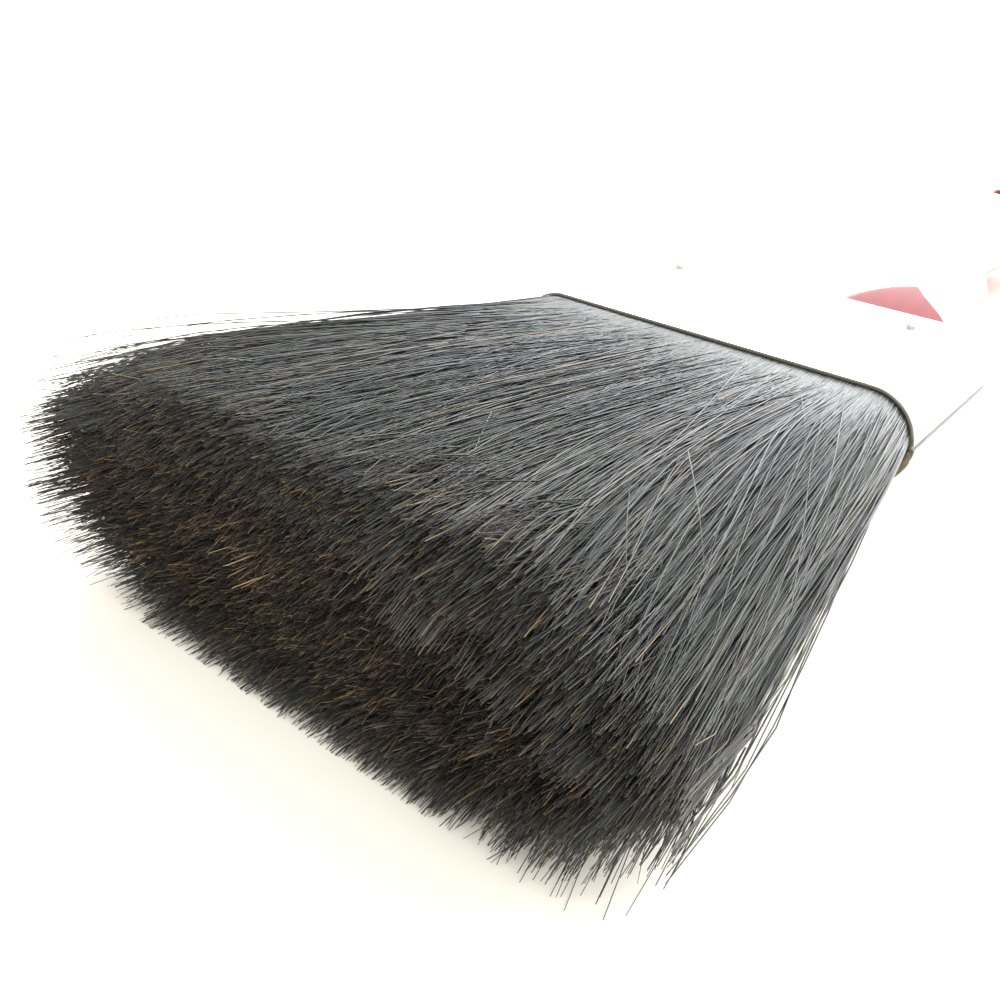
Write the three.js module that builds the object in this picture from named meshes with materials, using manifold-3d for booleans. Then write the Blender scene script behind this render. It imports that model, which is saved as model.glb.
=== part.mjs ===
// A flat natural-bristle dusting brush, lying level on one face, in millimetres.
// X runs across the brush, +Y from the bristle tips to the end of the handle, +Z up.
// The pieces are laid out with y = 0 at the mouth of the ferrule and z = 0 at half thickness,
// and the group at the end puts the origin at the bottom centre of the whole brush.
import * as THREE from 'three';
import { mergeVertices } from 'three/addons/utils/BufferGeometryUtils.js';
import Module from 'manifold-3d';

// Fits
const gap = 0.3;                 // left between pieces that touch or are glued
const cutThrough = 1;            // how far a cutter runs past the face it opens

// Ferrule: a seamed sheet-steel sleeve, a little thicker where it grips the handle
const mouthWidth = 50;
const mouthThickness = 11;
const backWidth = 50.4;
const backThickness = 12.6;
const ferruleLength = 28;
const ferruleWall = 0.5;
const seamHeight = 3;            // width of the lapped seam down the middle of one side
const seamRise = 0.3;

// Bristles
const bristleLength = 63.5;      // free length, from the mouth to the tips
const tipWidth = 60.5;
const tipThickness = 24;
const tipCorner = 18;            // how far the rounded sides reach in at the tips
const tipRounding = 3.5;         // the trimmed edge round the end face
const sideBulge = 0.6;           // below 1, the sides swell out soon after the mouth
const buttDepth = 12;            // held inside the ferrule

// Filler strips that spread the bristles into three layers
const fillerThickness = 1.6;
const fillerLength = 9;
const fillerInset = 6;           // from the ferrule's inner side to the strip's end

// Setting: the hard resin that locks the butts of the bristles
const settingDepth = 4;

// Handle: distances are from the back edge of the ferrule, unless they are from the end
const handleLength = 128;
const shoulderAt = 9;
const shoulderHalfWidth = 20.4;
const bellyAt = 15;              // the shoulder rises steeply from the ferrule and levels here
const bellyThickness = 17.4;
const waistAt = 78;
const waistHalfWidth = 8.5;
const gripFromEnd = 16;
const gripHalfWidth = 11;
const gripThickness = 12;
const endHalfWidth = 2;
const endThickness = 7;          // what is left after the end is rounded over
const endRounding = 4;
const hangHoleRadius = 4;
const hangHoleFromEnd = 11;

// Nails: two through each flat face of the ferrule into the handle's tongue
const nailFromSide = 9.2;        // from the ferrule's side
const nailFromBack = 4.2;        // from the ferrule's back edge
const nailHeadRadius = 1.2;
const nailHeadHeight = 0.6;
const nailShankRadius = 0.55;
const nailLength = 4.2;          // from under the head to the point
const nailPoint = 0.9;

// Facets
const cornerSteps = 7;
const bristleSteps = 12;
const tipSteps = 4;
const handleSteps = 30;
const endSteps = 7;
const holeSides = 24;
const nailSides = 12;
const domeSteps = 4;

// Worked out from the values above
const fitInset = ferruleWall + gap;
const mouthHalfWidth = mouthWidth / 2 - fitInset;
const mouthHalfThickness = mouthThickness / 2 - fitInset;
const slotThickness = fillerThickness + 2 * gap;
const bristleLayer = (2 * mouthHalfThickness - 2 * slotThickness) / 3;
const fillerHeight = (bristleLayer + slotThickness) / 2;
const fillerWidth = mouthWidth - 2 * (ferruleWall + fillerInset);
const tongueStart = buttDepth + settingDepth + 2 * gap;
const handleEnd = ferruleLength + handleLength;

const wasm = await Module();
wasm.setup();

function toSolid(geometry) {
  const bare = geometry.clone();
  bare.deleteAttribute('normal');
  bare.deleteAttribute('uv');
  const merged = mergeVertices(bare, 1e-5);
  const vertProperties = new Float32Array(merged.attributes.position.array);
  const triVerts = new Uint32Array(merged.index.array);
  return new wasm.Manifold(new wasm.Mesh({ numProp: 3, vertProperties, triVerts }));
}

function toGeometry(solid) {
  const mesh = solid.getMesh();
  const geometry = new THREE.BufferGeometry();
  geometry.setAttribute('position', new THREE.BufferAttribute(mesh.vertProperties, 3));
  geometry.setIndex(new THREE.BufferAttribute(mesh.triVerts, 1));
  return geometry;
}

// A ring of points across the brush at y: flat above and below, with half-elliptical sides
// that begin `corner` in from each edge.
function section(y, halfWidth, halfThickness, corner) {
  const ring = [];
  for (let quarter = 0; quarter < 4; quarter += 1) {
    const onRight = quarter === 0 || quarter === 3;
    const flatEnd = (onRight ? 1 : -1) * (halfWidth - corner);
    for (let step = 0; step <= cornerSteps; step += 1) {
      const isRepeat = step === 0 && (quarter === 0 || quarter === 2);
      if (!isRepeat) {
        const angle = (quarter + step / cornerSteps) * Math.PI / 2;
        const x = flatEnd + corner * Math.cos(angle);
        ring.push(new THREE.Vector3(x, y, halfThickness * Math.sin(angle)));
      }
    }
  }
  return ring;
}

// A closed skin over rings of equal length, given from -Y to +Y, with a flat cap at each end.
function loft(rings) {
  const sides = rings[0].length;
  const faces = [];
  for (let ring = 0; ring + 1 < rings.length; ring += 1) {
    for (let i = 0; i < sides; i += 1) {
      const here = ring * sides + i;
      const beside = ring * sides + (i + 1) % sides;
      faces.push(here, beside + sides, beside);
      faces.push(here, here + sides, beside + sides);
    }
  }
  const last = (rings.length - 1) * sides;
  for (let i = 1; i + 1 < sides; i += 1) {
    faces.push(0, i, i + 1);
    faces.push(last, last + i + 1, last + i);
  }
  const geometry = new THREE.BufferGeometry();
  geometry.setFromPoints(rings.flat());
  geometry.setIndex(faces);
  return geometry;
}

function cutter(centre, size) {
  const geometry = new THREE.BoxGeometry(size.x, size.y, size.z);
  return toSolid(geometry.translate(centre.x, centre.y, centre.z));
}

function uprightHole(x, y, radius, bottom, top, sides) {
  const geometry = new THREE.CylinderGeometry(radius, radius, top - bottom, sides);
  geometry.rotateX(Math.PI / 2);
  return toSolid(geometry.translate(x, y, (bottom + top) / 2));
}

// A smooth rise or fall through stations [[at, value], ...], level at each station.
function profile(stations, at) {
  const first = stations[0];
  const last = stations[stations.length - 1];
  if (at <= first[0]) {
    return first[1];
  }
  if (at >= last[0]) {
    return last[1];
  }
  const next = stations.findIndex(([station]) => at < station);
  const [from, low] = stations[next - 1];
  const [to, high] = stations[next];
  const share = (1 - Math.cos(Math.PI * (at - from) / (to - from))) / 2;
  return THREE.MathUtils.lerp(low, high, share);
}

// The ferrule's outer half sizes at y. All that it holds is worked out from these.
function ferruleHalfWidth(y) {
  return THREE.MathUtils.lerp(mouthWidth, backWidth, y / ferruleLength) / 2;
}

function ferruleHalfThickness(y) {
  return THREE.MathUtils.lerp(mouthThickness, backThickness, y / ferruleLength) / 2;
}

// A section of the ferrule at y, drawn in from its outer face by `inset`.
function ferruleSection(y, inset) {
  const halfThickness = ferruleHalfThickness(y) - inset;
  return section(y, ferruleHalfWidth(y) - inset, halfThickness, halfThickness);
}

function nailPlaces() {
  const y = ferruleLength - nailFromBack;
  const x = ferruleHalfWidth(y) - nailFromSide;
  return [
    { name: 'nail_top_right', x, y, side: 1 },
    { name: 'nail_top_left', x: -x, y, side: 1 },
    { name: 'nail_bottom_right', x, y, side: -1 },
    { name: 'nail_bottom_left', x: -x, y, side: -1 },
  ];
}

// The hole for a nail. The nail stands one gap proud, so the hole ends one gap past its point.
function nailHole({ x, y, side }) {
  const outside = side * (ferruleHalfThickness(y) + cutThrough);
  const inside = side * (ferruleHalfThickness(y) - nailLength);
  const bottom = Math.min(outside, inside);
  const top = Math.max(outside, inside);
  return uprightHole(x, y, nailShankRadius + gap, bottom, top, nailSides);
}

// The lapped edge of the sheet, standing proud down the middle of the +X side.
function ferruleSeam() {
  const corners = [[1, -1], [1, 1], [-1, 1], [-1, -1]];
  const ring = (y) => corners.map(([outward, upward]) => {
    const x = ferruleHalfWidth(y) + outward * seamRise;
    return new THREE.Vector3(x, y, upward * seamHeight / 2);
  });
  return toSolid(loft([ring(0), ring(ferruleLength)]));
}

function ferrule() {
  const outer = toSolid(loft([ferruleSection(0, 0), ferruleSection(ferruleLength, 0)]));
  const bore = toSolid(loft([
    ferruleSection(-cutThrough, ferruleWall),
    ferruleSection(ferruleLength + cutThrough, ferruleWall),
  ]));
  let shell = outer.add(ferruleSeam()).subtract(bore);
  for (const place of nailPlaces()) {
    shell = shell.subtract(nailHole(place));
  }
  return toGeometry(shell);
}

// A section of the free bristles at a distance `out` from the mouth, drawn in by `inset`.
// They reach their full spread where the rounding of the tips begins.
function fanSection(out, inset) {
  const share = Math.min(1, out / (bristleLength - tipRounding));
  const halfWidth = THREE.MathUtils.lerp(mouthHalfWidth, tipWidth / 2, share ** sideBulge);
  const halfThickness = THREE.MathUtils.lerp(mouthHalfThickness, tipThickness / 2, share);
  const corner = THREE.MathUtils.lerp(mouthHalfThickness, tipCorner, share);
  return section(-out, halfWidth - inset, halfThickness - inset, corner - inset);
}

// The bristles as one soft block, fanning out from the ferrule to the rounded end face.
function bristleTuft() {
  const rings = [];
  for (let step = 0; step < tipSteps; step += 1) {
    const angle = step / tipSteps * Math.PI / 2;
    const out = bristleLength - tipRounding * (1 - Math.cos(angle));
    rings.push(fanSection(out, tipRounding * (1 - Math.sin(angle))));
  }
  for (let step = bristleSteps; step >= 0; step -= 1) {
    rings.push(fanSection((bristleLength - tipRounding) * step / bristleSteps, 0));
  }
  rings.push(ferruleSection(buttDepth, fitInset));
  let tuft = toSolid(loft(rings));
  const slotLength = fillerLength + gap + cutThrough;
  for (const side of [1, -1]) {
    const centre = new THREE.Vector3(0, buttDepth + cutThrough - slotLength / 2, side * fillerHeight);
    const size = new THREE.Vector3(fillerWidth + 2 * gap, slotLength, slotThickness);
    tuft = tuft.subtract(cutter(centre, size));
  }
  return toGeometry(tuft);
}

function fillerStrip(side) {
  const geometry = new THREE.BoxGeometry(fillerWidth, fillerLength, fillerThickness);
  return geometry.translate(0, buttDepth - fillerLength / 2, side * fillerHeight);
}

function resinSetting() {
  const front = buttDepth + gap;
  return loft([
    ferruleSection(front, fitInset),
    ferruleSection(front + settingDepth, fitInset),
  ]);
}

// Half the handle's thickness at a distance `back` from the ferrule, before its end is rounded.
function handleHalfThickness(back) {
  const bellyHalf = bellyThickness / 2;
  if (back >= bellyAt) {
    return profile([[bellyAt, bellyHalf], [waistAt, gripThickness / 2]], back);
  }
  const tongueHalf = ferruleHalfThickness(ferruleLength) - fitInset;
  return THREE.MathUtils.lerp(tongueHalf, bellyHalf, Math.sin(Math.PI / 2 * back / bellyAt));
}

// A section of the handle at a distance `back` from the ferrule, `halfWidth` wide each way.
function handleSection(back, halfWidth) {
  const fullHalf = handleHalfThickness(back);
  const overEnd = Math.max(0, (back - handleLength + endRounding) / endRounding);
  const rounded = Math.sqrt(Math.max(0, 1 - overEnd * overEnd));
  const endHalf = Math.min(fullHalf, endThickness / 2);
  const halfThickness = THREE.MathUtils.lerp(endHalf, fullHalf, rounded);
  return section(ferruleLength + back, halfWidth, halfThickness, Math.min(halfWidth, halfThickness));
}

// The tongue in the ferrule, the broad shoulder and belly, the waist, and the rounded grip.
function handle() {
  const roundFrom = handleLength - gripHalfWidth;
  const widths = [
    [0, ferruleHalfWidth(ferruleLength) - fitInset],
    [shoulderAt, shoulderHalfWidth],
    [waistAt, waistHalfWidth],
    [handleLength - gripFromEnd, gripHalfWidth],
  ];
  const rings = [ferruleSection(tongueStart, fitInset)];
  for (let step = 0; step < handleSteps; step += 1) {
    const back = roundFrom * step / handleSteps;
    rings.push(handleSection(back, profile(widths, back)));
  }
  const lastAngle = Math.acos(endHalfWidth / gripHalfWidth);
  for (let step = 0; step <= endSteps; step += 1) {
    const angle = lastAngle * step / endSteps;
    const back = roundFrom + gripHalfWidth * Math.sin(angle) / Math.sin(lastAngle);
    rings.push(handleSection(back, gripHalfWidth * Math.cos(angle)));
  }
  const reach = gripThickness / 2 + cutThrough;
  const holeAt = handleEnd - hangHoleFromEnd;
  let body = toSolid(loft(rings));
  body = body.subtract(uprightHole(0, holeAt, hangHoleRadius, -reach, reach, holeSides));
  for (const place of nailPlaces()) {
    body = body.subtract(nailHole(place));
  }
  return toGeometry(body);
}

// A domed nail, pointing into the brush from the face on the given side.
function nail({ x, y, side }) {
  const outline = [
    new THREE.Vector2(0, -nailLength),
    new THREE.Vector2(nailShankRadius, nailPoint - nailLength),
    new THREE.Vector2(nailShankRadius, 0),
  ];
  for (let step = 0; step <= domeSteps; step += 1) {
    const angle = step / domeSteps * Math.PI / 2;
    const radius = step === domeSteps ? 0 : nailHeadRadius * Math.cos(angle);
    outline.push(new THREE.Vector2(radius, nailHeadHeight * Math.sin(angle)));
  }
  const geometry = new THREE.LatheGeometry(outline, nailSides);
  geometry.rotateX(side * Math.PI / 2);
  return geometry.translate(x, y, side * (ferruleHalfThickness(y) + gap));
}

function piece(name, geometry, finish) {
  const material = new THREE.MeshStandardMaterial(finish);
  const mesh = new THREE.Mesh(geometry, material);
  mesh.name = name;
  return mesh;
}

const steel = { color: 0xd9d8d2, roughness: 0.22, metalness: 1 };
const blackBristle = { color: 0x14110f, roughness: 0.45, metalness: 0 };
const redLacquer = { color: 0x9c1420, roughness: 0.15, metalness: 0 };
const paleWood = { color: 0xc9a878, roughness: 0.8, metalness: 0 };
const darkResin = { color: 0x3a2416, roughness: 0.4, metalness: 0 };

const brush = new THREE.Group();
brush.add(piece('bristle_tuft', bristleTuft(), blackBristle));
brush.add(piece('filler_strip_upper', fillerStrip(1), paleWood));
brush.add(piece('filler_strip_lower', fillerStrip(-1), paleWood));
brush.add(piece('resin_setting', resinSetting(), darkResin));
brush.add(piece('ferrule', ferrule(), steel));
brush.add(piece('handle', handle(), redLacquer));
for (const place of nailPlaces()) {
  brush.add(piece(place.name, nail(place), steel));
}
const restHeight = Math.max(tipThickness, bellyThickness, gripThickness, backThickness) / 2;
brush.position.set(0, (bristleLength - handleEnd) / 2, restHeight);

const assembly = new THREE.Group();
assembly.add(brush);
export default assembly;
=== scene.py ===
"""A flat dusting brush lying on a pale table: black natural bristle held in a seamed sheet-steel
ferrule, on a red lacquered handle. Lengths are in metres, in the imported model's own frame."""
import math

import bmesh
import bpy
import numpy as np
from mathutils import Matrix, Quaternion, Vector


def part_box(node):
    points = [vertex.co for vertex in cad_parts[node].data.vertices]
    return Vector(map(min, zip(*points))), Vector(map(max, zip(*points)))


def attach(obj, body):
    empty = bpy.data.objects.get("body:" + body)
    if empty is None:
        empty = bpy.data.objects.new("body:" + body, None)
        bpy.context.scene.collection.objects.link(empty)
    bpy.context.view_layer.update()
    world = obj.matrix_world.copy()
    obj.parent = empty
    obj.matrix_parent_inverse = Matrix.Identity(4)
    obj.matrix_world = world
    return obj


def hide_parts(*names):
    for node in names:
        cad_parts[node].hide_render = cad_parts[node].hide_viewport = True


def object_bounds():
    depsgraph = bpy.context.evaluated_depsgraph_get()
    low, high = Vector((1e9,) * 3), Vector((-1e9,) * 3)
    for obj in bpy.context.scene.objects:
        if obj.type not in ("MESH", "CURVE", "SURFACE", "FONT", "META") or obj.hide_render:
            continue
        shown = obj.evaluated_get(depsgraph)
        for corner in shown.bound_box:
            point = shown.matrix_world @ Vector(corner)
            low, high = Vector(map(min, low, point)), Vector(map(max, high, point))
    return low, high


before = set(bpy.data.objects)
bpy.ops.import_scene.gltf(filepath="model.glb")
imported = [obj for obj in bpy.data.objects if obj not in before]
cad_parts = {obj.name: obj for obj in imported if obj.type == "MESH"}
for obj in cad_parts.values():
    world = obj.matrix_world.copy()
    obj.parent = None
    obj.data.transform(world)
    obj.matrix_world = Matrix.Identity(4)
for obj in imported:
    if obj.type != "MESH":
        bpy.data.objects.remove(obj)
cad_low, cad_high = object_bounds()

# ---------------------------------------------------------------------------------------------
# Table, light and camera. A warm white table top, four soft lights behind the brush that graze
# along the bristles, a fifth in front of the end face, and a bright even room.
# ---------------------------------------------------------------------------------------------
MM = 0.001
mouth_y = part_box("ferrule")[0].y
axis_z = (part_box("ferrule")[0].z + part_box("ferrule")[1].z) / 2

view_azimuth = math.radians(36.5)
view_elevation = math.radians(25.74)
view_roll = math.radians(5.17)
towards_viewer = Vector((
    math.sin(view_azimuth) * math.cos(view_elevation),
    -math.cos(view_azimuth) * math.cos(view_elevation),
    math.sin(view_elevation),
))
level_right = Vector((math.cos(view_azimuth), math.sin(view_azimuth), 0))
level_up = towards_viewer.cross(level_right)
rolled_right = math.cos(view_roll) * level_right + math.sin(view_roll) * level_up
rolled_up = towards_viewer.cross(rolled_right)

camera_data = bpy.data.cameras.new("camera")
camera_data.sensor_width = 36
camera_data.lens = 36.92
camera_data.shift_x = 0.0299
camera_data.shift_y = -0.0439
camera_data.clip_start = 0.005
camera = bpy.data.objects.new("camera", camera_data)
camera_turn = Matrix((rolled_right, rolled_up, towards_viewer)).transposed().to_4x4()
camera_place = Vector((46.53, -105.57, 41.86)) * MM + Vector((0, mouth_y, axis_z))
camera.matrix_world = Matrix.Translation(camera_place) @ camera_turn
bpy.context.scene.collection.objects.link(camera)
bpy.context.scene.camera = camera

table_half = 3.0
table_mesh = bpy.data.meshes.new("table_top")
table_corners = [(-1, -1), (1, -1), (1, 1), (-1, 1)]
table_points = [(x * table_half, y * table_half, cad_low.z) for x, y in table_corners]
table_mesh.from_pydata(table_points, [], [(0, 1, 2, 3)])
table_top = bpy.data.objects.new("table_top", table_mesh)
bpy.context.scene.collection.objects.link(table_top)


def new_material(name, roughness, metallic=0.0, ior=1.5):
    """A material with its node tree, its Principled surface and its constant sockets set."""
    material = bpy.data.materials.new(name)
    material.use_nodes = True
    surface = material.node_tree.nodes["Principled BSDF"]
    surface.inputs["Roughness"].default_value = roughness
    surface.inputs["Metallic"].default_value = metallic
    surface.inputs["IOR"].default_value = ior
    return material, material.node_tree, surface


table_paint, _, table_surface = new_material("white_table", 0.7)
table_surface.inputs["Base Color"].default_value = (0.93, 0.89, 0.80, 1)
table_surface.inputs["Specular IOR Level"].default_value = 0.2
table_mesh.materials.append(table_paint)


def softbox(name, place, aim, size, brightness, colour, tilt=0.0):
    """A rectangular soft light. Its brightness is what a mirror would show of it."""
    light = bpy.data.lights.new(name, "AREA")
    light.shape = "RECTANGLE"
    light.size, light.size_y = size
    light.energy = brightness * math.pi * size[0] * size[1]
    light.color = colour
    lamp = bpy.data.objects.new(name, light)
    direction = Vector(aim) - Vector(place)
    lamp.location = place
    tilted = Quaternion((0, 0, 1), math.radians(tilt))
    lamp.rotation_euler = (direction.to_track_quat("-Z", "Y") @ tilted).to_euler()
    bpy.context.scene.collection.objects.link(lamp)


cool_light = (0.93, 0.98, 1.0)
warm_light = (1.0, 0.99, 0.96)
ferrule_middle = (0, -0.02, 0.02)
softbox("light_behind", (-0.36, 1.18, 0.35), (0, -0.05, 0.02), (2.2, 0.74), 3.6, cool_light)
softbox("light_behind_left", (-0.478, 0.826, 0.807), ferrule_middle, (0.374, 0.577), 13.0,
        cool_light, tilt=-38)
softbox("light_behind_right", (0.151, 0.934, 0.89), ferrule_middle, (0.80, 0.62), 9.5,
        cool_light, tilt=17)
softbox("light_right", (0.77, 0.90, 0.49), ferrule_middle, (0.5, 0.6), 6.0, cool_light)
softbox("light_front", (0.6, -0.7, 1.0), (0, -0.08, 0), (1.0, 0.8), 3.6, warm_light)

room = bpy.data.worlds.new("room")
room.use_nodes = True
room_background = room.node_tree.nodes["Background"]
room_background.inputs["Color"].default_value = (1.0, 0.99, 0.97, 1)
room_background.inputs["Strength"].default_value = 1.35
bpy.context.scene.world = room
bpy.context.scene.view_settings.view_transform = "Standard"

# ---------------------------------------------------------------------------------------------
# Bristle tuft, inner mass. The bristles stand so close that light never reaches the middle of
# the tuft, so the middle is one dark body, with the pockets for the filler strips in its butt.
# ---------------------------------------------------------------------------------------------
mouth_half_width = 24.38 * MM
mouth_half_thickness = 4.88 * MM
mouth_corner = 4.88 * MM
tip_half_width = 30.25 * MM
tip_half_thickness = 12.0 * MM
tip_corner = 18.0 * MM
side_bulge = 0.6
bristle_length = mouth_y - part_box("bristle_tuft")[0].y
butt_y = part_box("bristle_tuft")[1].y
core_inset = 0.9 * MM
core_inset_over = 4 * MM
core_setback = 6.0 * MM
core_side_steps = 14
butt_inset = 0.15 * MM
pocket_clearance = 0.3 * MM


def outline(y, half_width, half_thickness, corner, side_steps, flat_steps=1, extra_angles=()):
    """A ring across the brush at y: flat above and below, with half-elliptical sides."""
    angles = np.linspace(-math.pi / 2, math.pi / 2, 2 * side_steps + 1)
    angles = np.sort(np.concatenate([angles, extra_angles]))
    flat_end = half_width - corner
    right = np.stack([flat_end + corner * np.cos(angles), half_thickness * np.sin(angles)], 1)
    flat_x = np.linspace(flat_end, -flat_end, flat_steps + 1)[1:-1]
    top = np.stack([flat_x, np.full(len(flat_x), half_thickness)], 1)
    ring = np.concatenate([right, top, -right, -top])
    return np.stack([ring[:, 0], np.full(len(ring), y), ring[:, 1] + axis_z], 1)


def closed_skin(name, rings, joined_ends=False):
    """A closed mesh over rings of equal length, capped, or with its last ring joined to its first."""
    rings = np.array(rings)
    count, sides = rings.shape[:2]
    index = np.arange(count * sides).reshape(count, sides)
    ahead = np.roll(index, -1, 0) if joined_ends else index[1:]
    here = index if joined_ends else index[:-1]
    faces = np.stack([here, ahead, np.roll(ahead, -1, 1), np.roll(here, -1, 1)], -1)
    faces = faces.reshape(-1, 4).tolist()
    if not joined_ends:
        faces += [index[0].tolist(), index[-1].tolist()]
    mesh = bpy.data.meshes.new(name)
    mesh.from_pydata(rings.reshape(-1, 3).tolist(), [], faces)
    return finish_mesh(mesh)


def finish_mesh(mesh, merge_within=1e-7, sharp_over=math.radians(32)):
    """Merges doubles, turns every face outwards and smooths all but the sharp edges."""
    working = bmesh.new()
    working.from_mesh(mesh)
    bmesh.ops.remove_doubles(working, verts=working.verts, dist=merge_within)
    bmesh.ops.dissolve_degenerate(working, edges=working.edges, dist=merge_within)
    bmesh.ops.recalc_face_normals(working, faces=working.faces)
    working.to_mesh(mesh)
    working.free()
    mesh.shade_smooth()
    mesh.set_sharp_from_angle(angle=sharp_over)
    return mesh


def place_piece(name, mesh, material, slot, *replaced):
    """Puts a finished piece on the brush's one body."""
    piece = bpy.data.objects.new(name, mesh)
    bpy.context.scene.collection.objects.link(piece)
    mesh.materials.clear()
    mesh.materials.append(material)
    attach(piece, "root")
    if replaced:
        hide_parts(*replaced)


def carve(mesh, *cutters):
    """The mesh with each of the cutter meshes taken out of it."""
    block = bpy.data.objects.new("block", mesh)
    bpy.context.scene.collection.objects.link(block)
    tools = []
    for number, cutter in enumerate(cutters):
        tool = bpy.data.objects.new(f"cutter_{number}", cutter)
        bpy.context.scene.collection.objects.link(tool)
        cut = block.modifiers.new("cut", "BOOLEAN")
        cut.operation = "DIFFERENCE"
        cut.solver = "EXACT"
        cut.object = tool
        tools.append(tool)
    seen = bpy.context.evaluated_depsgraph_get()
    carved = bpy.data.meshes.new_from_object(block.evaluated_get(seen), depsgraph=seen)
    for spent in [block, *tools]:
        bpy.data.objects.remove(spent)
    return finish_mesh(carved)


def box_mesh(low, high):
    """A plain box between two corners."""
    corners = [(x, y, z) for z in (low.z, high.z) for y in (low.y, high.y) for x in (low.x, high.x)]
    sides = [(0, 2, 3, 1), (4, 5, 7, 6), (0, 1, 5, 4), (2, 6, 7, 3), (0, 4, 6, 2), (1, 3, 7, 5)]
    mesh = bpy.data.meshes.new("box")
    mesh.from_pydata(corners, [], sides)
    return mesh


def fan_ring(out, inset, side_steps):
    """A ring of the tuft at a distance from the mouth, drawn in by the inset."""
    share = max(0.0, min(1.0, out / bristle_length))
    half_width = mouth_half_width + (tip_half_width - mouth_half_width) * share ** side_bulge
    half_thickness = mouth_half_thickness + (tip_half_thickness - mouth_half_thickness) * share
    corner = mouth_corner + (tip_corner - mouth_corner) * share
    return outline(mouth_y - out, half_width - inset, half_thickness - inset, corner - inset, side_steps)


core_reach = bristle_length - core_setback
core_steps = 24
core_rings = [fan_ring(core_reach, core_inset + 3 * MM, core_side_steps)]
for step in range(core_steps, -1, -1):
    out = (core_reach - 2 * MM) * step / core_steps
    inset = core_inset * min(1.0, out / core_inset_over) + butt_inset
    core_rings.append(fan_ring(out, inset, core_side_steps))
core_rings.append(fan_ring(mouth_y - butt_y, butt_inset, core_side_steps))
pockets = []
for strip in ("filler_strip_upper", "filler_strip_lower"):
    strip_low, strip_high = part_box(strip)
    spare = Vector((pocket_clearance, pocket_clearance, pocket_clearance))
    pockets.append(box_mesh(strip_low - spare, strip_high + spare))
core_mesh = carve(closed_skin("tuft_core", core_rings), *pockets)


def new_group(name, kind, inlets, outlets):
    """A node group, what its named inputs give inside it, and where its named outputs are fed."""
    group = bpy.data.node_groups.new(name, kind)
    for in_out, sockets in (("INPUT", inlets), ("OUTPUT", outlets)):
        for label, holds in sockets.items():
            group.interface.new_socket(label, in_out=in_out, socket_type="NodeSocket" + holds)
    given = group.nodes.new("NodeGroupInput").outputs
    return group, given, group.nodes.new("NodeGroupOutput").inputs


def grain_group():
    """Random light and dark over a piece, drawn out along its grain by a scale on each axis."""
    group, given, result = new_group(
        "grain", "ShaderNodeTree",
        {"Stretch": "Vector", "Shift": "Vector", "Detail": "Float"}, {"Grain": "Float"})
    place = group.nodes.new("ShaderNodeTexCoord")
    stretched = group.nodes.new("ShaderNodeMapping")
    noise = group.nodes.new("ShaderNodeTexNoise")
    noise.inputs["Scale"].default_value = 1.0
    group.links.new(place.outputs["Object"], stretched.inputs["Vector"])
    group.links.new(given["Shift"], stretched.inputs["Location"])
    group.links.new(given["Stretch"], stretched.inputs["Scale"])
    group.links.new(stretched.outputs["Vector"], noise.inputs["Vector"])
    group.links.new(given["Detail"], noise.inputs["Detail"])
    group.links.new(noise.outputs["Fac"], result["Grain"])
    return group


grain_nodes = grain_group()


def place_group(tree, group, **values):
    """A shader node group placed in a material's tree, with its own values."""
    node = tree.nodes.new("ShaderNodeGroup")
    node.node_tree = group
    for label, value in values.items():
        node.inputs[label.replace("_", " ")].default_value = value
    return node


def grain(tree, stretch, detail, shift=(0, 0, 0)):
    """The light and dark of the grain group, as a value in a tree."""
    node = place_group(tree, grain_nodes, Stretch=stretch, Shift=shift, Detail=detail)
    return node.outputs["Grain"]


def colour_ramp(tree, source, stops):
    """Colours along a ramp, as (position, colour) stops, driven by a socket."""
    ramp = tree.nodes.new("ShaderNodeValToRGB")
    while len(ramp.color_ramp.elements) < len(stops):
        ramp.color_ramp.elements.new(0.5)
    for element, (position, colour) in zip(ramp.color_ramp.elements, stops):
        element.position = position
        element.color = (*colour, 1)
    tree.links.new(source, ramp.inputs["Fac"])
    return ramp.outputs["Color"]


packed_bristle, packed_tree, packed_surface = new_material("packed_bristle", 0.6)
packed_colour = colour_ramp(packed_tree, grain(packed_tree, (6000, 120, 6000), 3.0),
                            [(0.35, (0.002, 0.002, 0.002)), (0.75, (0.016, 0.012, 0.009))])
packed_tree.links.new(packed_colour, packed_surface.inputs["Base Color"])
place_piece("tuft_core", core_mesh, packed_bristle, "black_bristle", "bristle_tuft")

# ---------------------------------------------------------------------------------------------
# Bristles. Each is a stiff tapering hair, glued in the ferrule. It leaves the mouth beside its
# neighbours, leans out with the fan of the tuft, and gathers into a lock towards its tip.
# ---------------------------------------------------------------------------------------------
colour_columns = 512


class Field:
    """A number that varies over a piece, in a tree of nodes, so that a formula reads as one."""

    def __init__(self, tree, socket):
        self.tree = tree
        self.socket = socket

    def run(self, operation, *others, clamp=False):
        """The result of a Math node on this number and the others."""
        node = self.tree.nodes.new("ShaderNodeMath")
        node.operation = operation
        node.use_clamp = clamp
        for place, value in zip(node.inputs, (self, *others)):
            if isinstance(value, Field):
                self.tree.links.new(value.socket, place)
            else:
                place.default_value = value
        return Field(self.tree, node.outputs[0])

    def __add__(self, other):
        return self.run("ADD", other)

    def __sub__(self, other):
        return self.run("SUBTRACT", other)

    def __rsub__(self, other):
        return self * -1.0 + other

    def __mul__(self, other):
        return self.run("MULTIPLY", other)

    def __truediv__(self, other):
        return self.run("DIVIDE", other)

    def __pow__(self, other):
        return self.run("POWER", other)

    __radd__ = __add__
    __rmul__ = __mul__

    def towards(self, other, share):
        """This number at a share of 0, and the other at a share of 1."""
        return self + (other - self) * share

    def kept_0_to_1(self):
        """This number, held between 0 and 1."""
        return self.run("ADD", 0.0, clamp=True)


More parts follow.
